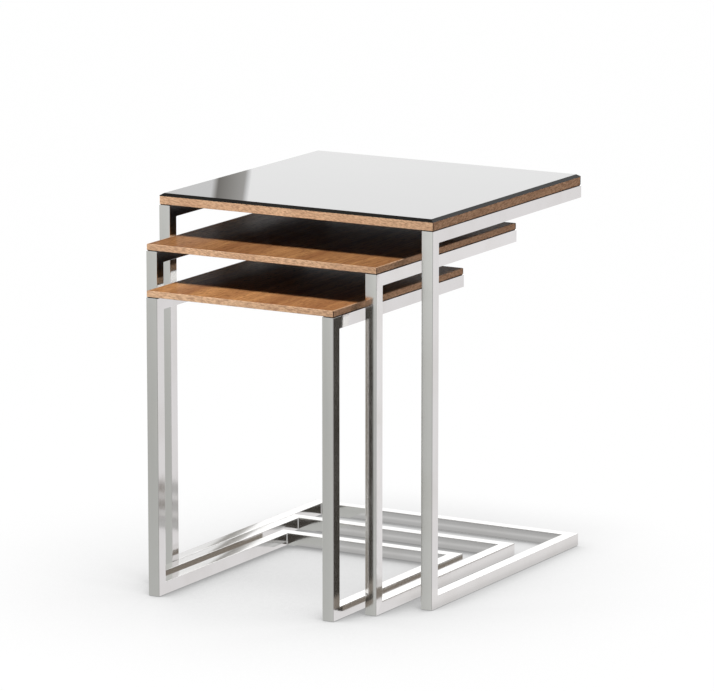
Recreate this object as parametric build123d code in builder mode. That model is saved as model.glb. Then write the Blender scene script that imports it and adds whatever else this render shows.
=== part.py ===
from build123d import *
import os

# A nest of three tables. Each one has two C-shaped side frames of mitred square tube, a rear floor
# rail that ties them at the floor, and a veneered board on top. The largest table also carries a
# bevelled sheet of black glass. X runs to the right, Y to the back and Z up, in millimetres, with
# the origin on the floor under the middle of the nest.

# Overall size of the large table
large_width = 450
large_depth = 450
large_height = 562

# Square steel tube of all three frames
tube_size = 18
tube_wall = 1.5
tube_edge_radius = 0.6
end_plate_thickness = 1.5

# Room that lets one table slide inside the next
nest_gap = 18
nest_headroom = 27
left_clearance = 1

# How far each smaller table stands in front of the one above it
middle_pull = 66
small_pull = 58

# Boards: a core with a veneer on both faces and a band on every edge
large_board_thickness = 12
lower_board_thickness = 9
board_inset = 0.5
veneer_thickness = 0.6
band_thickness = 2
band_edge_radius = 0.8

# Soft tape on the top rails, which the board lies on
tape_thickness = 1
tape_inset = 1.5

# Glass sheet of the large table, with a bevel all round above a short upright edge
glass_thickness = 4
glass_edge_height = 0.8
glass_bevel_width = 5

# Clear pads that bond the glass to the board
pad_diameter = 20
pad_end_margin = 75

# Screws that hold a board down on its rails, and the holes for them
screw_diameter = 4
screw_head_diameter = 8
screw_head_height = 2.6
screw_slot_length = 4.8
screw_slot_width = 1.2
screw_slot_depth = 1.4
screw_cover = 3
screw_end_margin = 60
screws_per_rail = 3
screw_hole_clearance = 0.5
pilot_clearance = 0.1
pilot_extra_depth = 0.5
access_clearance = 2

# Plug-in glides under the floor rails
glide_diameter = 9
glide_height = 1
glide_stem_diameter = 5
glide_stem_grip = 4
glide_stem_clearance = 0.1
glide_end_margin = 36
glides_per_rail = 2

# Sizes that follow from the ones above
frame_step = tube_size + nest_gap
tube_bore = tube_size - 2 * tube_wall
middle_width = large_width - 2 * frame_step
small_width = middle_width - 2 * frame_step
middle_depth = large_depth - frame_step
small_depth = middle_depth - frame_step

height_step = tube_size + nest_headroom + lower_board_thickness + tape_thickness
glass_bottom = large_height - glass_thickness
large_frame_top = glass_bottom - large_board_thickness - tape_thickness
middle_frame_top = large_frame_top - height_step
small_frame_top = middle_frame_top - height_step

back_y = (large_depth + middle_pull + small_pull) / 2
large_front = back_y - large_depth
middle_front = large_front - middle_pull
small_front = middle_front - small_pull
lower_centre_x = left_clearance - nest_gap

os.makedirs("parts", exist_ok=True)


def save(piece, name):
    """Label a finished piece with its node name and write its file."""
    piece.part.label = name
    export_step(piece.part, f"parts/{name}.step")


def end_positions(start, length, margin, count):
    """Evenly spaced places along a length, the first and last one margin from its ends."""
    pitch = (length - 2 * margin) / (count - 1)
    return [start + margin + pitch * i for i in range(count)]


def draw_tube_section():
    """Section of the square tube, centred on the plane of the sketch that calls for it."""
    RectangleRounded(tube_size, tube_size, tube_edge_radius)
    Rectangle(tube_bore, tube_bore, mode=Mode.SUBTRACT)


def make_leg(name, x, front, frame_top):
    """Front leg, mitred at its head and foot."""
    head_mitre = Plane((x, front, frame_top), x_dir=(1, 0, 0), z_dir=(0, 1, 1))
    foot_mitre = Plane((x, front, glide_height), x_dir=(1, 0, 0), z_dir=(0, -1, 1))
    base = Plane((x, front + tube_size / 2, glide_height))
    with BuildPart() as leg:
        with BuildSketch(base):
            draw_tube_section()
        extrude(amount=frame_top - glide_height)
        split(bisect_by=head_mitre, keep=Keep.BOTTOM)
        split(bisect_by=foot_mitre, keep=Keep.TOP)
    save(leg, name)


def make_top_rail(name, x, front, depth, frame_top, screw_ys):
    """Rail under the board: mitred to the leg in front, and drilled for the board's screws."""
    head_mitre = Plane((x, front, frame_top), x_dir=(1, 0, 0), z_dir=(0, 1, 1))
    front_end = Plane((x, front, frame_top - tube_size / 2), x_dir=(1, 0, 0), z_dir=(0, 1, 0))
    with BuildPart() as rail:
        with BuildSketch(front_end):
            draw_tube_section()
        extrude(amount=depth - end_plate_thickness)
        split(bisect_by=head_mitre, keep=Keep.TOP)
        with BuildSketch(Plane.XY.offset(frame_top)):
            with Locations(*[(x, y) for y in screw_ys]):
                Circle((screw_diameter + screw_hole_clearance) / 2)
        extrude(amount=-2 * tube_wall, mode=Mode.SUBTRACT)
        with BuildSketch(Plane.XY.offset(frame_top - tube_size)):
            with Locations(*[(x, y) for y in screw_ys]):
                Circle((screw_head_diameter + access_clearance) / 2)
        extrude(amount=2 * tube_wall, mode=Mode.SUBTRACT)
    save(rail, name)


def make_floor_rail(name, x, side, front, depth, glide_ys):
    """Side rail on the floor: mitred upright to the leg, and in plan to the rear rail."""
    outer_x = x + side * tube_size / 2
    foot_mitre = Plane((x, front, glide_height), x_dir=(1, 0, 0), z_dir=(0, -1, 1))
    rear_mitre = Plane((outer_x, front + depth, glide_height), x_dir=(0, 0, 1), z_dir=(-side, 1, 0))
    front_end = Plane((x, front, glide_height + tube_size / 2), x_dir=(1, 0, 0), z_dir=(0, 1, 0))
    with BuildPart() as rail:
        with BuildSketch(front_end):
            draw_tube_section()
        extrude(amount=depth)
        split(bisect_by=foot_mitre, keep=Keep.BOTTOM)
        split(bisect_by=rear_mitre, keep=Keep.BOTTOM)
        with BuildSketch(Plane.XY.offset(glide_height)):
            with Locations(*[(x, y) for y in glide_ys]):
                Circle((glide_stem_diameter + glide_stem_clearance) / 2)
        extrude(amount=2 * tube_wall, mode=Mode.SUBTRACT)
    save(rail, name)


def make_rear_rail(name, centre_x, width, back):
    """Rail across the back on the floor, mitred in plan to both side rails."""
    left_x = centre_x - width / 2
    right_x = centre_x + width / 2
    middle_z = glide_height + tube_size / 2
    left_mitre = Plane((left_x, back, middle_z), x_dir=(0, 0, 1), z_dir=(1, 1, 0))
    right_mitre = Plane((right_x, back, middle_z), x_dir=(0, 0, 1), z_dir=(-1, 1, 0))
    left_end = Plane((left_x, back - tube_size / 2, middle_z), x_dir=(0, 1, 0), z_dir=(1, 0, 0))
    with BuildPart() as rail:
        with BuildSketch(left_end):
            draw_tube_section()
        extrude(amount=width)
        split(bisect_by=left_mitre, keep=Keep.TOP)
        split(bisect_by=right_mitre, keep=Keep.TOP)
    save(rail, name)


def make_end_plates(name, rail_xs, back, frame_top):
    """Two plates that close the rear ends of the top rails."""
    plate_plane = Plane((0, back, frame_top - tube_size / 2), x_dir=(1, 0, 0), z_dir=(0, -1, 0))
    with BuildPart() as plates:
        with BuildSketch(plate_plane):
            with Locations(*[(x, 0) for x in rail_xs]):
                RectangleRounded(tube_size, tube_size, tube_edge_radius)
        extrude(amount=end_plate_thickness)
    save(plates, name)


def make_layer(name, outline, bottom, thickness, hole_diameter=0, hole_places=(), hole_depth=0):
    """Flat rectangular layer of a board, with any round holes cut up from its underside."""
    centre_x, centre_y, width, depth = outline
    with BuildPart() as layer:
        with BuildSketch(Plane((centre_x, centre_y, bottom))):
            Rectangle(width, depth)
        extrude(amount=thickness)
        if hole_places:
            with BuildSketch(Plane.XY.offset(bottom)):
                with Locations(*hole_places):
                    Circle(hole_diameter / 2)
            extrude(amount=hole_depth, mode=Mode.SUBTRACT)
    save(layer, name)


def make_seat_tapes(name, rail_xs, front, depth, frame_top, screw_ys):
    """Two strips of soft tape along the tops of the rails, punched for the board's screws."""
    centre_y = front + depth / 2
    with BuildPart() as tapes:
        with BuildSketch(Plane.XY.offset(frame_top)):
            with Locations(*[(x, centre_y) for x in rail_xs]):
                Rectangle(tube_size - 2 * tape_inset, depth - 2 * tape_inset)
            with Locations(*[(x, y) for x in rail_xs for y in screw_ys]):
                Circle((screw_diameter + screw_hole_clearance) / 2, mode=Mode.SUBTRACT)
        extrude(amount=tape_thickness)
    save(tapes, name)


def make_end_band(name, outline, bottom, thickness, outward):
    """Strip along the front or back edge of a board, rounded over on its outer face and its ends."""
    centre_x, centre_y, width, depth = outline
    with BuildPart() as band:
        with BuildSketch(Plane((centre_x, centre_y, bottom))):
            Rectangle(width, depth)
        extrude(amount=thickness)
        outer_face = band.faces().sort_by(outward)[-1]
        fillet(outer_face.edges() + band.edges().filter_by(Axis.Y), radius=band_edge_radius)
    save(band, name)


def make_side_band(name, outline, bottom, thickness, outward):
    """Strip along the left or right edge, between the end bands, with its two outer edges rounded."""
    centre_x, centre_y, width, depth = outline
    with BuildPart() as band:
        with BuildSketch(Plane((centre_x, centre_y, bottom))):
            Rectangle(width, depth)
        extrude(amount=thickness)
        outer_face = band.faces().sort_by(outward)[-1]
        fillet(outer_face.edges().filter_by(Axis.Y), radius=band_edge_radius)
    save(band, name)


def make_screws(name, places, frame_top, reach):
    """Pan-head screws: the head bears on the rail's upper wall from inside the tube.

    Reach is how far they stand up above the rail, through the tape and into the board.
    """
    seat = frame_top - tube_wall
    with BuildPart() as screws:
        with BuildSketch(Plane.XY.offset(seat - screw_head_height)):
            with Locations(*places):
                Circle(screw_head_diameter / 2)
        extrude(amount=screw_head_height)
        with BuildSketch(Plane.XY.offset(seat)):
            with Locations(*places):
                Circle(screw_diameter / 2)
        extrude(amount=tube_wall + reach)
        with BuildSketch(Plane.XY.offset(seat - screw_head_height)):
            with Locations(*places):
                Rectangle(screw_slot_length, screw_slot_width)
                Rectangle(screw_slot_width, screw_slot_length)
        extrude(amount=screw_slot_depth, mode=Mode.SUBTRACT)
    save(screws, name)


def make_glides(name, places):
    """Round glides whose stems plug into the floor rails."""
    with BuildPart() as glides:
        with BuildSketch(Plane.XY):
            with Locations(*places):
                Circle(glide_diameter / 2)
        extrude(amount=glide_height)
        with BuildSketch(Plane.XY.offset(glide_height)):
            with Locations(*places):
                Circle(glide_stem_diameter / 2)
        extrude(amount=tube_wall + glide_stem_grip)
    save(glides, name)


def make_table(prefix, centre_x, front, width, depth, frame_top, board_thickness, pad_places):
    """All the pieces of one table; pad places are where a glass sheet is bonded to its board."""
    back = front + depth
    left_x = centre_x - (width - tube_size) / 2
    right_x = centre_x + (width - tube_size) / 2
    screw_ys = end_positions(front, depth, screw_end_margin, screws_per_rail)
    glide_ys = end_positions(front, depth, glide_end_margin, glides_per_rail)

    for side_name, x, side in (("left", left_x, -1), ("right", right_x, 1)):
        make_leg(f"{prefix}_{side_name}_leg", x, front, frame_top)
        make_top_rail(f"{prefix}_{side_name}_top_rail", x, front, depth, frame_top, screw_ys)
        make_floor_rail(f"{prefix}_{side_name}_floor_rail", x, side, front, depth, glide_ys)
    make_rear_rail(f"{prefix}_rear_floor_rail", centre_x, width, back)
    make_end_plates(f"{prefix}_rail_end_plates", (left_x, right_x), back, frame_top)

    board_width = width - 2 * board_inset
    board_depth = depth - 2 * board_inset
    centre_y = front + depth / 2
    core_width = board_width - 2 * band_thickness
    core_depth = board_depth - 2 * band_thickness
    core = (centre_x, centre_y, core_width, core_depth)
    core_thickness = board_thickness - 2 * veneer_thickness
    screw_bite = board_thickness - screw_cover
    pilot_diameter = screw_diameter + pilot_clearance
    pilot_depth = screw_bite + pilot_extra_depth - veneer_thickness
    screw_places = [(x, y) for x in (left_x, right_x) for y in screw_ys]

    board_bottom = frame_top + tape_thickness
    core_bottom = board_bottom + veneer_thickness
    veneer_bottom = core_bottom + core_thickness
    make_seat_tapes(f"{prefix}_seat_tapes", (left_x, right_x), front, depth, frame_top, screw_ys)
    make_layer(f"{prefix}_under_veneer", core, board_bottom, veneer_thickness,
               pilot_diameter, screw_places, veneer_thickness)
    make_layer(f"{prefix}_board_core", core, core_bottom, core_thickness,
               pilot_diameter, screw_places, pilot_depth)
    make_layer(f"{prefix}_top_veneer", core, veneer_bottom, veneer_thickness,
               pad_diameter, pad_places, veneer_thickness)

    band_x = (board_width - band_thickness) / 2
    band_y = (board_depth - band_thickness) / 2
    for edge_name, sign in (("front", -1), ("back", 1)):
        outline = (centre_x, centre_y + sign * band_y, board_width, band_thickness)
        make_end_band(f"{prefix}_{edge_name}_edge_band", outline, board_bottom, board_thickness,
                      Axis((0, 0, 0), (0, sign, 0)))
    for edge_name, sign in (("left", -1), ("right", 1)):
        outline = (centre_x + sign * band_x, centre_y, band_thickness, core_depth)
        make_side_band(f"{prefix}_{edge_name}_edge_band", outline, board_bottom, board_thickness,
                       Axis((0, 0, 0), (sign, 0, 0)))

    make_screws(f"{prefix}_board_screws", screw_places, frame_top, tape_thickness + screw_bite)
    make_glides(f"{prefix}_floor_glides", [(x, y) for x in (left_x, right_x) for y in glide_ys])


# Places of the bonding pads: four near the corners of the large board and one in the middle
large_centre_y = large_front + large_depth / 2
pad_x = large_width / 2 - pad_end_margin
pad_y = large_depth / 2 - pad_end_margin
pad_places = [(sx * pad_x, large_centre_y + sy * pad_y) for sx in (-1, 1) for sy in (-1, 1)]
pad_places.append((0, large_centre_y))

make_table("large", 0, large_front, large_width, large_depth,
           large_frame_top, large_board_thickness, pad_places)
make_table("middle", lower_centre_x, middle_front, middle_width, middle_depth,
           middle_frame_top, lower_board_thickness, [])
make_table("small", lower_centre_x, small_front, small_width, small_depth,
           small_frame_top, lower_board_thickness, [])

# Bonding pads: clear discs let into the top veneer of the large board
with BuildPart() as glass_bond_pads:
    with BuildSketch(Plane.XY.offset(glass_bottom - veneer_thickness)):
        with Locations(*pad_places):
            Circle(pad_diameter / 2)
    extrude(amount=veneer_thickness)
save(glass_bond_pads, "glass_bond_pads")

# Glass top: an upright edge, then a bevel that draws in to the flat upper face
with BuildPart() as glass_top:
    with BuildSketch(Plane((0, large_centre_y, glass_bottom))):
        Rectangle(large_width - 2 * board_inset, large_depth - 2 * board_inset)
    extrude(amount=glass_thickness)
    upper_edges = glass_top.faces().sort_by(Axis.Z)[-1].edges()
    chamfer(upper_edges, length=glass_thickness - glass_edge_height, length2=glass_bevel_width)
save(glass_top, "glass_top")
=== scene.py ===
# %% [markdown]
# # A nest of three tables: from bare solids to finished surfaces
#
# The nest is three free-standing tables that slide under one another. Each has a frame of polished
# square tube, open in front, and a thin veneered board. The largest also carries a sheet of black glass
# with a ground bevel. The solids already have their real size and place, so this lesson adds what CAD
# leaves out: the finish of every surface, the small polished welds inside the frame corners, and a
# studio that chrome and glass can mirror.

# %% Load the solids as a fixed frame
import math

import bmesh
import bpy
from mathutils import Matrix, Vector


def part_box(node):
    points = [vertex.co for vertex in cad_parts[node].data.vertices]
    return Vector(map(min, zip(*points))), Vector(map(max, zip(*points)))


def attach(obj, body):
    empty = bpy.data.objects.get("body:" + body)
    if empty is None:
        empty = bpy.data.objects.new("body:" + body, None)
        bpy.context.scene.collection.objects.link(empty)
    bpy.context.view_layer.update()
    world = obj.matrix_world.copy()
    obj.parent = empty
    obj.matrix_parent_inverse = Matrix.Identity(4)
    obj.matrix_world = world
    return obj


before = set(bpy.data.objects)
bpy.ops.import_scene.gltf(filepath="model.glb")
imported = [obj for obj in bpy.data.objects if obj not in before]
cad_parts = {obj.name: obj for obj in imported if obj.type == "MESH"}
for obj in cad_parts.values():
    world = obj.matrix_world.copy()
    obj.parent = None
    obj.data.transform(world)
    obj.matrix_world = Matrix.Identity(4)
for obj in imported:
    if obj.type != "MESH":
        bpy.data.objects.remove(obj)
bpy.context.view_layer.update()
scene = bpy.context.scene
scene.view_settings.view_transform = "Standard"

TABLES = ("large", "middle", "small")

# %% [markdown]
# ## The camera
#
# A product photograph is usually taken from far away with a long lens, because then upright legs stay
# almost parallel. The camera stands seven metres off, to the front right, and looks down a little. It
# could be aimed with a Track To constraint, but two plain angles say the same and are easy to read
# back.

# %% Camera
CAMERA_PLACE = (3.5643, -6.1999, 1.7790)
CAMERA_TURN = math.radians(29.8280)      # to the left of straight ahead, which is +Y
CAMERA_PITCH = math.radians(11.4347)     # below level
SENSOR_WIDTH_MM = 36
LENS_MM = 253.349
FAR_CLIP = 60

camera = bpy.data.objects.new("camera", bpy.data.cameras.new("camera"))
camera.location = CAMERA_PLACE
camera.rotation_euler = (math.pi / 2 - CAMERA_PITCH, 0, CAMERA_TURN)
camera.data.sensor_width = SENSOR_WIDTH_MM
camera.data.lens = LENS_MM
camera.data.clip_end = FAR_CLIP
scene.collection.objects.link(camera)
scene.camera = camera
print("camera stands", round(camera.location.length, 2), "m from the nest")

# %% [markdown]
# ## Writing shader maths as plain sums
#
# A finish is a graph of nodes, and drawing one by hand needs a line of code for every wire. Instead,
# one small class wraps an output socket, so that `1 - pores` or `streaks * 0.2 + 0.3` adds the Math
# nodes by itself. Every other node comes from its `node` method, which takes the node's type, then its
# settings, then what goes into its sockets.


# %% A socket that does sums
class Wire:
    """An output socket of a node tree. Sums on it add Math nodes, and node() adds any other kind."""

    def __init__(self, tree, socket=None):
        self.tree = tree
        self.socket = socket

    def node(self, kind, settings=None, sockets=None, output=0):
        made = self.tree.nodes.new("ShaderNode" + kind)
        for name, value in (settings or {}).items():
            if name == "stops":
                self.set_stops(made.color_ramp.elements, value)
            else:
                setattr(made, name, value)
        for name, value in (sockets or {}).items():
            if isinstance(value, Wire):
                self.tree.links.new(value.socket, made.inputs[name])
            else:
                made.inputs[name].default_value = value
        return Wire(self.tree, made.outputs[output] if made.outputs else None)

    @staticmethod
    def set_stops(elements, stops):
        while len(elements) < len(stops):
            elements.new(1.0)
        for element, (place, value) in zip(elements, sorted(stops.items())):
            element.position = place
            element.color = (value, value, value, 1.0)

    def maths(self, operation, first, second):
        return self.node("Math", {"operation": operation}, {0: first, 1: second})

    def __add__(self, other):
        return self.maths("ADD", self, other)

    def __sub__(self, other):
        return self.maths("SUBTRACT", self, other)

    def __rsub__(self, other):
        return self.maths("SUBTRACT", other, self)

    def __mul__(self, other):
        return self.maths("MULTIPLY", self, other)

    def __gt__(self, other):
        return self.maths("GREATER_THAN", self, other)

    def __or__(self, other):
        return self.maths("MAXIMUM", self, other)

    __radd__ = __add__
    __rmul__ = __mul__


print("sums ready:", [name for name in vars(Wire) if name.startswith("__r")])

# %% [markdown]
# ## The start and end of every finish
#
# All finishes begin the same way, with an empty tree and the Object coordinates, which are metres in
# the nest's own frame and stay put when a table slides. They end the same way too, in one Principled
# shader. What changes over the surface is wired into it, and what is the same all over is set on its
# socket as a number.


# %% Start and end of a finish
def start_finish(name):
    """An empty material, with the Wire its nodes are made from and its Object coordinates."""
    material = bpy.data.materials.new(name)
    material.use_nodes = True
    material.node_tree.nodes.clear()
    paint = Wire(material.node_tree)
    return material, paint, paint.node("TexCoord", output="Object")


def end_finish(paint, **sockets):
    """Wires the Principled shader and the output. Underscores in a name stand for spaces."""
    named = {name.replace("_", " "): value for name, value in sockets.items()}
    shader = paint.node("BsdfPrincipled", {}, named)
    paint.node("OutputMaterial", {}, {"Surface": shader})


def dress(material, *node_names):
    """Gives CAD nodes a finish through their material slots, and leaves their meshes alone."""
    for name in node_names:
        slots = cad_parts[name].data.materials
        slots.clear()
        slots.append(material)
    print(material.name, "on", len(node_names), "nodes")


print("nodes to dress:", len(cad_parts))


# %% What goes on in between
def stretch(paint, place, per_metre, turn=(0, 0, 0)):
    """The coordinates in counts per metre along X, Y and Z, turned first by these angles."""
    turned = paint.node("Mapping", {}, {"Vector": place, "Rotation": turn})
    return paint.node("VectorMath", {"operation": "MULTIPLY"}, {0: turned, 1: per_metre})


def noise(paint, place, detail=2.0, roughness=0.5):
    """Soft random values round a half, one blob for each unit of the coordinates."""
    sockets = {"Vector": place, "Scale": 1.0, "Detail": detail, "Roughness": roughness}
    return paint.node("TexNoise", {}, sockets, "Fac")


def ramp(paint, value, stops):
    """The value after a curve of straight runs, given as {value in: value out}."""
    return paint.node("ValToRGB", {"stops": stops}, {"Fac": value})


def blend(paint, share, first, second):
    """A colour between two, by a share from 0 to 1."""
    colour = {"data_type": "RGBA"}
    return paint.node("Mix", colour, {0: share, 6: first, 7: second}, 2)


def reach(paint, place, direction):
    """How far a place or direction lies along another direction."""
    return paint.node("VectorMath", {"operation": "DOT_PRODUCT"}, {0: place, 1: direction}, "Value")


print("pattern helpers:", *(helper.__name__ for helper in (stretch, noise, ramp, blend, reach)))

# %% [markdown]
# ## Chrome on square tube
#
# The legs and rails are square steel tube, ground flush at the welds, chrome plated and buffed along
# their length. Bright chrome mirrors most of the light, a touch warm. A perfect mirror looks drawn:
# rolled tube has faces that stand a tenth of a millimetre proud in the middle, buffing leaves long
# shallow waves, and hands leave faint smudges. The crown could be modelled, but then the tubes would no
# longer meet flush, so it is a bump that falls off from the middle line of each tube. That is why every
# tube gets a finish of its own, made by one function. No weld is dead square either: two legs and one
# top rail lean in this bump, by up to three and a half degrees, so that each mirrors past its
# neighbour.

# %% The crown of a tube
AXES = ("x", "y", "z")
CROWN_HEIGHT = 0.0001
TUBE_HALF = 0.009
SQUARE = (0, 0, 0)


def along_tube(axis, along, across):
    """Three numbers, one for the axis that a tube runs along and one for the two across it."""
    return tuple(along if name == axis else across for name in AXES)


def crown(paint, place, centre, rounded, lean):
    """How far faces along these axes stand proud: less and less away from the middle of the tube."""
    offset = paint.node("VectorMath", {"operation": "SUBTRACT"}, {0: place, 1: centre})
    across = paint.node("VectorMath", {"operation": "MULTIPLY"}, {0: offset, 1: rounded})
    squared = reach(paint, across, across)
    return squared * (-CROWN_HEIGHT / TUBE_HALF ** 2) + reach(paint, offset, lean)


print("crown of", CROWN_HEIGHT * 1000, "mm on", TUBE_HALF * 2000, "mm tube")

# %% Chrome finish
CHROME_BRIGHT = (0.885, 0.878, 0.868, 1)
CHROME_HANDLED = (0.84, 0.828, 0.81, 1)
CHROME_BLUR = 0.10
STROKE_LEAST = 0.7
STROKE_SPREAD = 0.6
SMUDGE_BLUR = 0.05
WAVE_HEIGHT = 0.000003
WAVES_ALONG = 5
WAVES_ACROSS = 70
STROKES_ALONG = 14
STROKES_ACROSS = 900
SMUDGES = (16, 16, 16)
PATCHES = {0.45: 0, 0.75: 1}


def chrome(name, axis, centre=None, rounded=None, lean=SQUARE):
    """Plated steel that is buffed along one axis, and crowned if the centre of its tube is given."""
    material, paint, place = start_finish(name)
    waves = noise(paint, stretch(paint, place, along_tube(axis, WAVES_ALONG, WAVES_ACROSS)))
    strokes = noise(paint, stretch(paint, place, along_tube(axis, STROKES_ALONG, STROKES_ACROSS)))
    smudges = ramp(paint, noise(paint, stretch(paint, place, SMUDGES), detail=4), PATCHES)
    height = waves * WAVE_HEIGHT
    if centre:
        height = height + crown(paint, place, centre, rounded, lean)
    bump = paint.node("Bump", {}, {"Strength": 1.0, "Distance": 1.0, "Height": height})
    stroke_blur = CHROME_BLUR * (STROKE_LEAST + STROKE_SPREAD * strokes)
    end_finish(
        paint,
        Base_Color=blend(paint, smudges, CHROME_BRIGHT, CHROME_HANDLED),
        Metallic=1.0,
        Roughness=stroke_blur + SMUDGE_BLUR * smudges,
        Normal=bump,
    )
    return material


flat_chrome = chrome("flat_chrome", "z")
print(flat_chrome.name, "of", len(flat_chrome.node_tree.nodes), "nodes")

# %% Plate every tube
LEG_ROUNDED = (1, 0, 0)      # legs are crowned on the faces that look forwards and back
LESS_ROUNDED = (0.7, 0, 0)
FLATTER = {"large_right_leg": LESS_ROUNDED}
LARGE_LEAN = -0.0135         # rise of the bump per metre across, here under one degree
MIDDLE_LEAN = -0.061         # and here three and a half degrees
LEANS = {
    "large_right_leg": (LARGE_LEAN, 0, 0),
    "middle_right_leg": (0, MIDDLE_LEAN, 0),
    "middle_right_top_rail": (0, MIDDLE_LEAN, 0),
}


def plate_tube(node, axis, rounded=None):
    """Gives one tube its own chrome, crowned about its middle on the faces along these axes."""
    low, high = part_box(node)
    centre = tuple((low + high) / 2)
    rounded = FLATTER.get(node, rounded or along_tube(axis, 0, 1))
    dress(chrome("chrome_on_" + node, axis, centre, rounded, LEANS.get(node, SQUARE)), node)


for table in TABLES:
    plate_tube(table + "_rear_floor_rail", "x")
    for side in ("left", "right"):
        plate_tube(f"{table}_{side}_leg", "z", LEG_ROUNDED)
        plate_tube(f"{table}_{side}_top_rail", "y")
        plate_tube(f"{table}_{side}_floor_rail", "y")
    dress(flat_chrome, table + "_rail_end_plates")

# %% [markdown]
# ## Walnut veneer
#
# The boards are faced with straight-grained walnut whose grain runs from front to back. Seen from a
# step away it is soft stripes of lighter and darker wood three or four centimetres wide; from close by
# there are fine lines and short pores. A wave texture would give stripes that are too even, so the
# stripes are noise drawn out along Y, and a slow sideways sway keeps them from being ruled lines. Thin
# lacquer over it gives the low sheen. Each table gets a leaf of its own, a little lighter or darker.
# Its underside gets the same walnut darkened to a fifth, which is painted shade under the board; a leaf
# there keeps the board flat.

# %% A leaf of walnut
WALNUT_LIGHT = (0.47, 0.232, 0.09)
WALNUT_DEEP = (0.25, 0.104, 0.041)
WALNUT_LINE = (0.12, 0.046, 0.018)
LEAF_TONES = {"large": 1.05, "middle": 1.05, "small": 1.33}
LEAF_SHIFTS = {"large": 0.0, "middle": 0.0, "small": 0.251}
# painted shade: the underside walnut is darkened to a fifth
UNDERSIDE_SHADE_TONE = 0.2
VENEER_SWAY = (0.024, 0, 0)
SWAYS = (5, 2.2, 30)


def toned(colour, tone):
    """A wood colour made lighter or darker, as another leaf of the same tree."""
    return (*(part * tone for part in colour), 1)


def swaying_leaf(paint, place, table):
    """The coordinates of a table's own leaf, shifted sideways by a slow sway."""
    leaf = paint.node("Mapping", {}, {"Vector": place, "Location": (LEAF_SHIFTS[table], 0, 0)})
    slow = noise(paint, stretch(paint, leaf, SWAYS), detail=1) - 0.5
    shift = paint.node("VectorMath", {"operation": "SCALE"}, {0: VENEER_SWAY, "Scale": slow}, "Vector")
    return paint.node("VectorMath", {"operation": "ADD"}, {0: leaf, 1: shift})


print("leaf tones:", LEAF_TONES, "and", UNDERSIDE_SHADE_TONE, "underneath")

# %% Veneer finish
STRIPES = (27, 0.8, 47)
STRIPE_EDGES = {0.35: 0, 0.63: 1}
FINE_LINES = (330, 9, 47)
LINE_EDGES = {0.46: 0, 0.72: 0.8}
LINE_RELIEF = 0.4
LINE_BLUR = 0.04
PORES = (850, 70, 47)
PORE_EDGES = {0.50: 0, 0.66: 1}
PORE_DEPTH = 0.00002
PORE_DARKNESS = 0.7
PORE_BLUR = 0.12
VENEER_RELIEF = 0.6
VENEER_BLUR = 0.09
VENEER_SHINE = 0.0009


def veneer(table, face, tone):
    """Lacquered walnut for one face of a board: stripes, then fine lines, then pores over them."""
    material, paint, place = start_finish(f"{table}_{face}_walnut")
    light, deep, line = (toned(wood, tone) for wood in (WALNUT_LIGHT, WALNUT_DEEP, WALNUT_LINE))
    leaf = swaying_leaf(paint, place, table)
    broad = noise(paint, stretch(paint, leaf, STRIPES), detail=4, roughness=0.65)
    lines = noise(paint, stretch(paint, leaf, FINE_LINES), detail=3, roughness=0.6)
    pores = ramp(paint, noise(paint, stretch(paint, leaf, PORES)), PORE_EDGES)
    striped = blend(paint, ramp(paint, broad, STRIPE_EDGES), deep, light)
    lined = blend(paint, ramp(paint, lines, LINE_EDGES), striped, deep)
    relief = lines * LINE_RELIEF - pores
    sockets = {"Strength": VENEER_RELIEF, "Distance": PORE_DEPTH, "Height": relief}
    end_finish(
        paint,
        Base_Color=blend(paint, pores * PORE_DARKNESS, lined, line),
        Roughness=VENEER_BLUR + LINE_BLUR * lines + PORE_BLUR * pores,
        Specular_IOR_Level=VENEER_SHINE,
        Normal=paint.node("Bump", {}, sockets),
    )
    return material


for table in TABLES:
    dress(veneer(table, "top", LEAF_TONES[table]), table + "_top_veneer")
    # the underside leaf, darkened to a fifth, is painted shade under the board
    dress(veneer(table, "under", UNDERSIDE_SHADE_TONE), table + "_under_veneer")

# %% [markdown]
# ## Edge bands
#
# The edges of the boards are covered with bands of paler walnut, glued on and rounded over. Their grain
# runs along the edge, and short dark flecks lie in it at a slant. The ends of the front and back bands
# show at the corners as thin dark lines: the colour there is near black. The same finish is made twice
# for each table, once for each direction, and the end grain is found from the surface's own normal: it
# is where the surface faces along the band.

# %% Band finish
BAND_PALE = (0.735, 0.485, 0.30)
BAND_WARM = (0.61, 0.385, 0.235)
BAND_FLECK = (0.33, 0.18, 0.11)
BAND_END = (0.045, 0.022, 0.012, 1)
BAND_TONES = {"large": 1.08, "middle": 1.01, "small": 1.05}
CLOUDS_ALONG = 14
CLOUDS_ACROSS = 56
TWO_TONES = {0.35: 0, 0.65: 1}
FLECKS_ALONG = 150
FLECKS_ACROSS = 560
FLECK_SLANT = math.radians(-8)
FLECK_EDGES = {0.42: 0, 0.62: 1}
FLECK_DARKNESS = 0.75
FLECK_DEPTH = 0.0001
FLECK_RELIEF = 0.5
FLECK_BLUR = 0.12
BAND_BLUR = 0.48
BAND_SHINE = 0.05
END_FACING = 0.9


def end_grain(paint, axis):
    """1 where the surface faces along the band, and 0 elsewhere."""
    normal = paint.node("NewGeometry", output="Normal")
    facing = paint.node("VectorMath", {"operation": "ABSOLUTE"}, {0: normal})
    return reach(paint, facing, along_tube(axis, 1, 0)) > END_FACING


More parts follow.
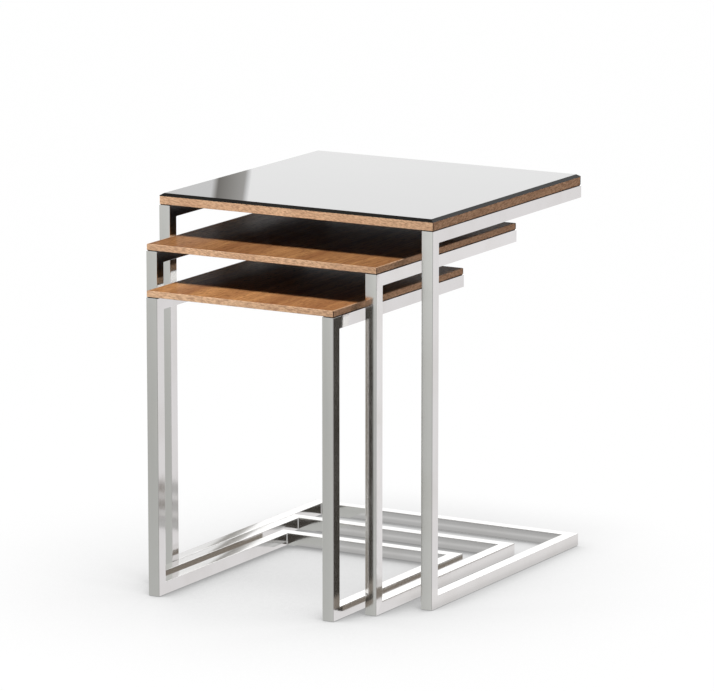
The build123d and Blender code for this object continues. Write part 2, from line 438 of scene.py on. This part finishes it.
def band(table, axis):
    """Paler walnut with slanted flecks, its grain along one axis."""
    material, paint, place = start_finish(f"{table}_walnut_band_along_{axis}")
    tone = BAND_TONES[table]
    pale, warm, fleck = (toned(wood, tone) for wood in (BAND_PALE, BAND_WARM, BAND_FLECK))
    turn = (0, FLECK_SLANT, 0) if axis == "x" else (FLECK_SLANT, 0, 0)
    slanted = stretch(paint, place, along_tube(axis, FLECKS_ALONG, FLECKS_ACROSS), turn)
    marks = ramp(paint, noise(paint, slanted, detail=3, roughness=0.6), FLECK_EDGES)
    clouded = stretch(paint, place, along_tube(axis, CLOUDS_ALONG, CLOUDS_ACROSS))
    clouds = ramp(paint, noise(paint, clouded, detail=3), TWO_TONES)
    flecked = blend(paint, marks * FLECK_DARKNESS, blend(paint, clouds, warm, pale), fleck)
    sockets = {"Strength": FLECK_RELIEF, "Distance": FLECK_DEPTH, "Height": 1 - marks}
    end_finish(
        paint,
        Base_Color=blend(paint, end_grain(paint, axis), flecked, BAND_END),
        Roughness=BAND_BLUR + FLECK_BLUR * marks,
        Specular_IOR_Level=BAND_SHINE,
        Normal=paint.node("Bump", {}, sockets),
    )
    return material


for table in TABLES:
    dress(band(table, "x"), table + "_front_edge_band", table + "_back_edge_band")
    dress(band(table, "y"), table + "_left_edge_band", table + "_right_edge_band")

# %% [markdown]
# ## Black glass
#
# The glass is painted black on its underside, so it is a dark mirror from above: it shows little when
# looked at straight down and nearly everything at a low angle. That is what a dielectric does by
# itself, so the finish needs only a near-black colour, the index of soda glass and a very small blur.
# Faint wipe marks vary that blur.

# %% Glass finish
GLASS_BLACK = (0.006, 0.006, 0.0055, 1)
GLASS_HAZE = (0.012, 0.012, 0.011, 1)
GLASS_INDEX = 1.52
GLASS_BLUR = 0.005
WIPE_BLUR = 0.008
WIPE_MARKS = (7, 22, 1)
WIPE_TURN = (0, 0, math.radians(25))


def black_glass():
    """Back-painted glass with faint wipe marks."""
    material, paint, place = start_finish("black_glass")
    wiped = noise(paint, stretch(paint, place, WIPE_MARKS, WIPE_TURN), detail=4)
    marks = ramp(paint, wiped, PATCHES)
    end_finish(
        paint,
        Base_Color=blend(paint, marks, GLASS_BLACK, GLASS_HAZE),
        Roughness=GLASS_BLUR + WIPE_BLUR * marks,
        IOR=GLASS_INDEX,
    )
    return material


dress(black_glass(), "glass_top")

# %% [markdown]
# ## What is hidden most of the time
#
# Fibreboard cores, steel screws, nylon glides and the clear pads under the glass show only when the
# nest is turned over or cut open, and the foam tape that the boards lie on shows as a thin dark line
# above the rails. Each still gets a finish with some grain of its own, because a part in a library is
# looked at from every side.

# %% Plain stuffs with a grain
GRAIN_RELIEF = 0.5
GRAIN_BLUR = 0.1


def grained(name, counts, first, second, depth, blur, **constants):
    """A plain stuff with a grain: two tones, a little blur and a fine bump that follow one noise."""
    material, paint, place = start_finish(name)
    grain = noise(paint, stretch(paint, place, counts), detail=3, roughness=0.6)
    tone = ramp(paint, grain, TWO_TONES)
    bump = paint.node("Bump", {}, {"Strength": GRAIN_RELIEF, "Distance": depth, "Height": grain})
    end_finish(
        paint,
        Base_Color=blend(paint, tone, first, second),
        Roughness=blur + GRAIN_BLUR * tone,
        Normal=bump,
        **constants,
    )
    return material


def on_each_table(piece):
    """The names of one piece on all three tables."""
    return [f"{table}_{piece}" for table in TABLES]


CORE_LIGHT = (0.36, 0.25, 0.15, 1)
CORE_DARK = (0.24, 0.155, 0.09, 1)
CORE_FIBRES = (900, 900, 2500)
fibreboard = grained("fibreboard", CORE_FIBRES, CORE_DARK, CORE_LIGHT, depth=0.0001, blur=0.75)
dress(fibreboard, *on_each_table("board_core"))

# %% Finishes for the fittings
ZINC_BRIGHT = (0.62, 0.62, 0.60, 1)
ZINC_DULL = (0.42, 0.42, 0.43, 1)
ZINC_SPANGLES = (700, 700, 700)
NYLON_DARK = (0.020, 0.020, 0.021, 1)
NYLON_WORN = (0.055, 0.055, 0.055, 1)
NYLON_TEXTURE = (1600, 1600, 1600)
FOAM_BLACK = (0.012, 0.012, 0.012, 1)
FOAM_DUSTY = (0.035, 0.034, 0.033, 1)
FOAM_CELLS = (1900, 1900, 1900)
SILICONE_CLEAR = (0.80, 0.82, 0.82, 1)
SILICONE_CLOUDY = (0.66, 0.68, 0.68, 1)
SILICONE_CLOUDS = (180, 180, 180)
SILICONE_INDEX = 1.41

screw_zinc = grained(
    "screw_zinc", ZINC_SPANGLES, ZINC_DULL, ZINC_BRIGHT, depth=0.00002, blur=0.28, Metallic=1.0
)
glide_nylon = grained(
    "glide_nylon", NYLON_TEXTURE, NYLON_DARK, NYLON_WORN, depth=0.00005, blur=0.45
)
seat_foam = grained(
    "seat_foam", FOAM_CELLS, FOAM_BLACK, FOAM_DUSTY, depth=0.0002, blur=0.85
)
silicone = grained(
    "clear_silicone", SILICONE_CLOUDS, SILICONE_CLOUDY, SILICONE_CLEAR, depth=0.00005, blur=0.25,
    Transmission_Weight=0.7, IOR=SILICONE_INDEX
)
dress(screw_zinc, *on_each_table("board_screws"))
dress(glide_nylon, *on_each_table("floor_glides"))
dress(seat_foam, *on_each_table("seat_tapes"))
dress(silicone, "glass_bond_pads")

# %% [markdown]
# ## Polished welds in the corners
#
# Where two tubes meet, the welder leaves a small bead in the inner corner and it is polished to a
# smooth hollow, which catches a thin bright line of light. CAD leaves the corner sharp. A hollow could
# be cut with a boolean, but it is simpler to spin one vertex through a quarter turn, close that arc to
# the corner with a face and extrude it.

# %% One weld
WELD_RADIUS = 0.0022
WELD_STEPS = 6


def add_weld(mesh, corner, first, second, run):
    """A hollow fillet from corner along run, between faces that leave it along first and second."""
    start = mesh.verts.new(corner + first * WELD_RADIUS)
    centre = corner + (first + second) * WELD_RADIUS
    axis = first.cross(second)
    bmesh.ops.spin(mesh, geom=[start], cent=centre, axis=axis, angle=-math.pi / 2, steps=WELD_STEPS)
    mesh.verts.ensure_lookup_table()
    arc = mesh.verts[-(WELD_STEPS + 1):]
    face = mesh.faces.new([mesh.verts.new(corner), *arc])
    grown = bmesh.ops.extrude_face_region(mesh, geom=[face])["geom"]
    moved = [part for part in grown if isinstance(part, bmesh.types.BMVert)]
    bmesh.ops.translate(mesh, vec=run, verts=moved)


print("weld hollow of", WELD_RADIUS * 1000, "mm in", WELD_STEPS, "steps")

# %% The welds of each table
TUBE_EDGE = 0.0006
X = Vector((1, 0, 0))
Y = Vector((0, 1, 0))
Z = Vector((0, 0, 1))


def weld_fillets(table):
    """The welds of one table: two at the back of the floor frame, four behind the legs."""
    rear_low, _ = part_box(table + "_rear_floor_rail")
    mesh = bmesh.new()
    for side, inwards in (("left", X), ("right", -X)):
        leg_low, leg_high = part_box(f"{table}_{side}_leg")
        _, floor_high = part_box(f"{table}_{side}_floor_rail")
        top_low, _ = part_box(f"{table}_{side}_top_rail")
        inner = leg_high.x if side == "left" else leg_low.x
        upright = Z * (floor_high.z - rear_low.z - 2 * TUBE_EDGE)
        add_weld(mesh, Vector((inner, rear_low.y, rear_low.z + TUBE_EDGE)), inwards, -Y, upright)
        across = X * (leg_high.x - leg_low.x - 2 * TUBE_EDGE)
        for height, away in ((floor_high.z, Z), (top_low.z, -Z)):
            add_weld(mesh, Vector((leg_low.x + TUBE_EDGE, leg_high.y, height)), Y, away, across)
    bmesh.ops.recalc_face_normals(mesh, faces=mesh.faces)
    data = bpy.data.meshes.new(table + "_weld_fillets")
    mesh.to_mesh(data)
    mesh.free()
    data.materials.append(flat_chrome)
    piece = bpy.data.objects.new(data.name, data)
    scene.collection.objects.link(piece)
    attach(piece, table + "_table")
    return piece


for table in TABLES:
    piece = weld_fillets(table)
    print(piece.name, len(piece.data.polygons), "faces")

# %% [markdown]
# ## The floor
#
# The nest stands on a plain pale floor. Lighting it to pure white would wash out the tables, so it is
# whitened for the eye alone: for camera and see-through rays most of it glows, less and less the closer
# the tubes stand, which is painted shade, and the rest takes the soft shadow of the lamps.

# %% The floor as the eye sees it
FLOOR_PALE = (0.95, 0.95, 0.95, 1)
FLOOR_UNSEEN = (0.08, 0.08, 0.08, 1)
FLOOR_GLOW = 0.95
PAINTED_SHADE_REACH = 0.6
PAINTED_SHADE_REACH_LEVELS = {
    0.30: 0.33, 0.45: 0.50, 0.60: 0.71, 0.68: 0.80,
    0.80: 0.875, 0.87: 0.93, 0.93: 0.97, 0.97: 1.0,
}


def rays(paint, kind):
    """1 for this kind of ray and 0 for the others."""
    return paint.node("LightPath", output=f"Is {kind} Ray")


def glowing(paint, colour):
    """A shader that glows in a colour, just as bright as that colour is written."""
    return paint.node("Emission", {}, {"Color": colour, "Strength": 1.0})


def either(paint, share, first, second):
    """A shader between two, by a share from 0 to 1."""
    return paint.node("MixShader", {}, {0: share, 1: first, 2: second})


def floor_to_the_eye(paint):
    """A glow that dims near the tubes as painted shade, over a matt floor that takes the lamps'
    shadows.
    """
    eye = rays(paint, "Camera") | rays(paint, "Transmission")
    # painted shade: the glow is darkened by ambient occlusion close to the tubes
    occlusion = paint.node("AmbientOcclusion", {}, {"Distance": PAINTED_SHADE_REACH}, "AO")
    glow = glowing(paint, ramp(paint, occlusion, PAINTED_SHADE_REACH_LEVELS))
    matt = paint.node("BsdfDiffuse", {}, {"Color": blend(paint, eye, FLOOR_UNSEEN, FLOOR_PALE)})
    return either(paint, eye * FLOOR_GLOW, matt, glow)


print("floor glows by", FLOOR_GLOW, "and dims within", PAINTED_SHADE_REACH, "m of the tubes")

# %% [markdown]
# ## The floor in low mirrors
#
# Polished tube this low would mirror nothing but floor, so mirror rays pass through the floor to the
# room. It is left in three places only, and there it glows as painted shade and light. Between two
# neighbouring rails, where chrome mirrors chrome, it shows up in the second mirror as a brown stripe of
# painted shade. Close to the rear rails it shows as a painted soft light line between two painted
# darker ones, and close to the right rails as a painted shade towards their foot. The length of the ray
# tells how close. The places could be painted on, but they are found from the boxes of the rails, so
# that they stay right if a table changes its size.

# %% Floor between neighbouring rails
SMALL_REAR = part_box("small_rear_floor_rail")[0].y
BEHIND_NEST = 0.3
GUTTERS = (
    ("middle_left_floor_rail", "small_left_floor_rail", SMALL_REAR),
    ("small_right_floor_rail", "middle_right_floor_rail", BEHIND_NEST),
    ("middle_right_floor_rail", "large_right_floor_rail", BEHIND_NEST),
)


def x_and_y(paint, place):
    """The X and the Y of a place, as two values."""
    return [paint.node("SeparateXYZ", {}, {0: place}, name) for name in ("X", "Y")]


def gutters(paint, place):
    """1 on the narrow floor between neighbouring floor rails, and 0 elsewhere."""
    x, y = x_and_y(paint, place)
    inside = 0
    for left_rail, right_rail, back in GUTTERS:
        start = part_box(left_rail)[1].x
        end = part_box(right_rail)[0].x
        inside = inside + (x > start) * (1 - (x > end)) * (1 - (y > back))
    return inside


print("gutters:", len(GUTTERS))

# %% Floor by the rear and right rails
REAR_ROOM = 0.115
REAR_START = 0.066
REAR_ENDS = {
    "large": "middle_right_floor_rail",
    "middle": "small_right_floor_rail",
    "small": "small_right_floor_rail",
}
SIDE_FADE = 0.063


def rear_floor(paint, place):
    """1 on the floor just in front of the rear rails, clear of the left rails, and 0 elsewhere."""
    x, y = x_and_y(paint, place)
    inside = 0
    for table, last_rail in REAR_ENDS.items():
        low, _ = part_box(table + "_rear_floor_rail")
        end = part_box(last_rail)[1].x
        between = (x > low.x + REAR_START) * (1 - (x > end))
        inside = inside + between * (y > low.y - REAR_ROOM) * (1 - (y > low.y))
    return inside


def right_floor(paint, place):
    """1 on the floor to the right of the large and middle right rails, fading in behind the leg."""
    x, y = x_and_y(paint, place)
    low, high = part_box("large_right_floor_rail")
    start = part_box("middle_right_floor_rail")[1].x
    behind = ramp(paint, (y - low.y) * (1 / SIDE_FADE), {0: 0, 1: 1})
    return (x > high.x) * (y > low.y) + (x > start) * (1 - (x > low.x)) * behind


print("rear strips:", len(REAR_ENDS), "each", REAR_ROOM, "m deep")

# %% The floor as low mirrors see it
GUTTER_PAINTED_SHADE = (0.25, 0.22, 0.19, 1)
SECOND_MIRROR = 1.5
LOW_REACH = 0.13
REAR_PAINTED_LEVELS = {
    0.03: 0.28, 0.08: 0.46, 0.196: 0.48, 0.247: 0.52, 0.30: 0.60, 0.35: 0.58,
    0.42: 0.49, 0.483: 0.455, 0.615: 0.45, 0.683: 0.38, 0.766: 0.24,
}
SIDE_PAINTED_SHADE_LEVELS = {
    0.05: 0.655, 0.10: 0.66, 0.20: 0.70, 0.30: 0.755, 0.40: 0.785, 0.50: 0.797, 0.62: 0.805,
}
SIDE_TINT = (1.0, 0.98, 0.98)


def floor_in_mirrors(paint, place):
    """Nothing at all, apart from painted shade on the gutters and painted light and shade on the floor
    close to the rear and right rails.
    """
    second = paint.node("LightPath", output="Glossy Depth") > SECOND_MIRROR
    travelled = paint.node("LightPath", output="Ray Length")
    share = travelled * (1 / LOW_REACH)
    close = 1 - (travelled > LOW_REACH)
    gone = paint.node("BsdfTransparent")
    # painted shade: the narrow floor between rails glows brown in the second mirror
    between = either(paint, second * gutters(paint, place), gone, glowing(paint, GUTTER_PAINTED_SHADE))
    # painted light and shade in front of the rear rails, by how far the ray went
    rear = glowing(paint, ramp(paint, share, REAR_PAINTED_LEVELS))
    at_rear = either(paint, close * rear_floor(paint, place), between, rear)
    # painted shade beside the right rails, darker towards their foot
    shade = ramp(paint, share, SIDE_PAINTED_SHADE_LEVELS)
    tinted = paint.node("VectorMath", {"operation": "MULTIPLY"}, {0: shade, 1: SIDE_TINT})
    beside = close * right_floor(paint, place) * (1 - second)
    return either(paint, beside, at_rear, glowing(paint, tinted))


print("low mirrors show the floor up to", LOW_REACH, "m away")

# %% Floor sheet
FLOOR_HALF = 20


def floor_finish():
    """One finish for the eye and another for the mirrors."""
    material, paint, place = start_finish("pale_floor")
    seen = floor_to_the_eye(paint)
    mirrored = floor_in_mirrors(paint, place)
    surface = either(paint, rays(paint, "Glossy"), seen, mirrored)
    paint.node("OutputMaterial", {}, {"Surface": surface})
    return material


def flat_sheet(name, half_width, half_height, place):
    """A flat stage sheet, with its place in its mesh."""
    mesh = bmesh.new()
    bmesh.ops.create_grid(mesh, x_segments=1, y_segments=1, size=1)
    bmesh.ops.scale(mesh, vec=(half_width, half_height, 1), verts=mesh.verts)
    bmesh.ops.transform(mesh, matrix=place, verts=mesh.verts)
    data = bpy.data.meshes.new(name)
    mesh.to_mesh(data)
    mesh.free()
    sheet = bpy.data.objects.new(name, data)
    scene.collection.objects.link(sheet)
    return sheet


floor = flat_sheet("floor", FLOOR_HALF, FLOOR_HALF, Matrix.Identity(4))
floor.data.materials.append(floor_finish())
print("floor", 2 * FLOOR_HALF, "m wide")

# %% [markdown]
# ## A window for the mirrors
#
# Chrome and glass have no look of their own: they show the room. Behind the nest, to the left, stands a
# tall bright window with a dim curtain edge, which lies across the glass top as one darker band, and as
# a soft smear on the left floor rails. It is a sheet that only mirror rays see, so that it throws no
# light or shadow and never stands in front of the camera. Its glow follows a ramp across its width,
# with a slant above the knee of the curtain, and is dimmer towards the foot.


# %% Sheets that only mirrors see
def mirror_sheet(name, width, height, stand):
    """A stage sheet that only mirror rays see, with an empty finish and the coordinates across it."""
    sheet = flat_sheet(name, width / 2, height / 2, stand)
    for kind in ("camera", "diffuse", "transmission", "volume_scatter", "shadow"):
        setattr(sheet, "visible_" + kind, False)
    material, paint, place = start_finish(name + "_glow")
    sheet.data.materials.append(material)
    sockets = {"Vector": place, "Location": stand.translation, "Rotation": stand.to_euler()}
    print(name, round(width, 3), "by", round(height, 3), "m")
    return paint, paint.node("Mapping", {"vector_type": "TEXTURE"}, sockets)


def stand_behind(aside, distance, height):
    """The place of an upright sheet behind the nest, seen from the camera."""
    place = Matrix.Translation((aside, distance, height)) @ Matrix.Rotation(math.pi / 2, 4, "X")
    return Matrix.Rotation(CAMERA_TURN, 4, "Z") @ place


print("sheets face the camera, turned by", round(math.degrees(CAMERA_TURN), 1), "degrees")

# %% Window
WINDOW_DISTANCE = 2.0
WINDOW_CENTRE = 0.9
WINDOW_WIDTH = 3.0
WINDOW_HEIGHT = 1.6
WINDOW_BRIGHT = 2.0
WINDOW_LEVELS = {0.30: 0.60, 0.40: 0.68, 0.4142: 0.68, 0.4170: 0.19, 0.4350: 0.41, 0.4366: 0.95}
WINDOW_FOOT = {0.30: 0.62, 0.40: 1.0}
CURTAIN_SLANT = math.radians(8)
CURTAIN_KNEE = -0.03
CURTAIN_WARM = (1.0, 0.96, 0.90, 1)
CURTAIN_TO_WINDOW = {0.2: 0, 0.6: 1}
WHITE = (1, 1, 1, 1)

window_stand = stand_behind(0, WINDOW_DISTANCE, WINDOW_CENTRE)
paint, local = mirror_sheet("back_left_window", WINDOW_WIDTH, WINDOW_HEIGHT, window_stand)
aside, height = x_and_y(paint, local)
slanted = aside * math.cos(CURTAIN_SLANT) + (height | CURTAIN_KNEE) * math.sin(CURTAIN_SLANT)
level = ramp(paint, slanted * (1 / WINDOW_WIDTH) + 0.5, WINDOW_LEVELS)
warmth = blend(paint, ramp(paint, level, CURTAIN_TO_WINDOW), CURTAIN_WARM, WHITE)
light = paint.node("VectorMath", {"operation": "MULTIPLY"}, {0: level, 1: warmth})
foot = ramp(paint, height * (1 / WINDOW_HEIGHT) + 0.5, WINDOW_FOOT)
glow = paint.node("Emission", {}, {"Color": light, "Strength": foot * WINDOW_BRIGHT})
paint.node("OutputMaterial", {}, {"Surface": glow})
print("window glow of", len(paint.tree.nodes), "nodes")

# %% [markdown]
# ## A dark flag
#
# Photographers stand dark cards, called flags, just out of sight, because chrome needs something dark
# to mirror. This one is low behind the nest, to the left. Its brown glow is painted shade, standing in
# for the shaded floor that the mirrors see low behind the nest. It puts the dark edge on the middle
# table's right leg, and as a sheet it is easier to place than a dark patch in the ramps of the room.

# %% Flag
FLAG_DISTANCE = 1.2
FLAG_LEFT = -1.0
FLAG_RIGHT = 0.045
FLAG_TOP = 0.16
FLAG_FOOT = -0.8
FLAG_PAINTED_SHADE = (0.245, 0.22, 0.19, 1)

flag_stand = stand_behind((FLAG_LEFT + FLAG_RIGHT) / 2, FLAG_DISTANCE, (FLAG_TOP + FLAG_FOOT) / 2)
paint, _ = mirror_sheet("dark_flag", FLAG_RIGHT - FLAG_LEFT, FLAG_TOP - FLAG_FOOT, flag_stand)
# painted shade: the flag glows in the brown of shaded floor
paint.node("OutputMaterial", {}, {"Surface": glowing(paint, FLAG_PAINTED_SHADE)})

# %% [markdown]
# ## The room
#
# The room is white to the eye and dim for the matt surfaces. For mirrors it is a studio: pale behind
# the nest and at its sides, dark overhead, and with a low dark door where the camera stands, so that
# every rounded edge of the tube gets its thin dark line. A picture of a room would do too, but a few
# ramps over the direction of the ray say plainly which side is pale, and each can be tuned alone. One
# of them is the wall on the left, a little brighter above and below, which the front faces of the legs
# show as a slow change from top to foot.

# %% The room in mirrors
CAMERA_SIDE = (math.sin(CAMERA_TURN), -math.cos(CAMERA_TURN), 0)
RIGHT_SIDE = (math.cos(CAMERA_TURN), math.sin(CAMERA_TURN), 0)
UPWARDS = (0, 0, 1)
FAR_TO_NEAR = {0: 1.0, 0.25: 0.78, 0.55: 0.56, 0.71: 0.425, 0.748: 0.435, 0.772: 0.515, 0.89: 0.53}
DARK_DOOR = {0.89: 0, 0.965: 0.92}
DOOR_HEIGHT = {0.15: 0, 0.21: 1, 0.40: 1, 0.46: 0}
LEFT_WALL = {
    0.215: 0, 0.24: 0.20, 0.258: 0.12, 0.28: 0, 0.29: 0, 0.300: 0.08, 0.312: 0.24, 0.325: 0.42,
}
LEFT_WALL_FROM = 0.3
OVERHEAD = {0.25: 1, 0.65: 0.25}

scene.world = bpy.data.worlds.new("studio")
scene.world.use_nodes = True
scene.world.node_tree.nodes.clear()
air = Wire(scene.world.node_tree)
direction = air.node("TexCoord", output="Generated")
near = reach(air, direction, CAMERA_SIDE)
up = reach(air, direction, UPWARDS)
nearness = near * 0.5 + 0.5
tilt = up + 0.5
left_wall = 1 + (near > LEFT_WALL_FROM) * ramp(air, tilt, LEFT_WALL)
door = ramp(air, nearness, DARK_DOOR) * ramp(air, tilt, DOOR_HEIGHT)
walls = ramp(air, nearness, FAR_TO_NEAR) * ramp(air, up, OVERHEAD)
studio = walls * left_wall * (1 - door)
print("studio of", len(air.tree.nodes), "nodes")

# %% Colour of the room, and the room for the eye
RIGHT_TINT = (1.0, 0.975, 0.99, 1)
LEFT_TINT = (0.985, 1.0, 0.965, 1)
DARK_TINT = (1.0, 0.90, 0.77, 1)
DARK_TO_PALE = {0.08: 0, 0.45: 1}
ROOM_DIM = 0.05

across = blend(air, reach(air, direction, RIGHT_SIDE) * 0.5 + 0.5, LEFT_TINT, RIGHT_TINT)
tint = blend(air, ramp(air, studio, DARK_TO_PALE), DARK_TINT, across)
mirrored = rays(air, "Glossy")
eye = rays(air, "Camera") | rays(air, "Transmission")
level = eye + mirrored * studio + (1 - (eye | mirrored)) * ROOM_DIM
colour = blend(air, mirrored, WHITE, tint)
backdrop = air.node("Background", {}, {"Color": colour, "Strength": level})
air.node("OutputWorld", {}, {"Surface": backdrop})
print("room of", len(air.tree.nodes), "nodes")

# %% [markdown]
# ## The lamps
#
# Over the nest hangs one broad soft lamp, a little to the front. It is a Sun with a wide disc, so it
# lights the floor and the boards evenly, far and near, and gives each board's shadow on the next one
# its soft edge. An area lamp would fall off towards the back. Two long low lamps, one in front and a
# warmer one at the right, lift the edges of the boards. They hang lower than the boards, so that they
# don't reach in between them. Mirrors show none of the lamps.

# %% Overhead lamp
LAMP_TILT = math.radians(15)
LAMP_DISC = math.radians(14)
LAMP_STRENGTH = 3.1


def hang(name, kind, power):
    """A lamp that mirrors don't show."""
    lamp = bpy.data.objects.new(name, bpy.data.lights.new(name, kind))
    lamp.data.energy = power
    lamp.visible_glossy = False
    lamp.visible_camera = False
    scene.collection.objects.link(lamp)
    return lamp


overhead_lamp = hang("overhead_lamp", "SUN", LAMP_STRENGTH)
overhead_lamp.data.angle = LAMP_DISC
overhead_lamp.rotation_euler = (LAMP_TILT, 0, 0)
print(overhead_lamp.name, "of strength", LAMP_STRENGTH)

# %% Low lamps
FILL_HEIGHT = 0.36
FILL_SIZE = (2.0, 0.12)
FILL_AIM = Vector((0, -0.1, FILL_HEIGHT))
FILL_PLACES = {"right_fill": (2.3, 0.1, FILL_HEIGHT), "left_fill": (-1.2, -2.2, FILL_HEIGHT)}
FILL_POWERS = {"right_fill": 13.8, "left_fill": 42}
FILL_COLOURS = {"right_fill": (1.0, 0.885, 0.865), "left_fill": (1.0, 1.0, 1.0)}

for name, stand in FILL_PLACES.items():
    fill = hang(name, "AREA", FILL_POWERS[name])
    fill.data.color = FILL_COLOURS[name]
    fill.data.shape = "RECTANGLE"
    fill.data.size, fill.data.size_y = FILL_SIZE
    fill.location = stand
    fill.rotation_euler = (FILL_AIM - fill.location).to_track_quat("-Z", "Y").to_euler()
    print(name, "of", FILL_POWERS[name], "watts")

# %% [markdown]
# ## Finish
#
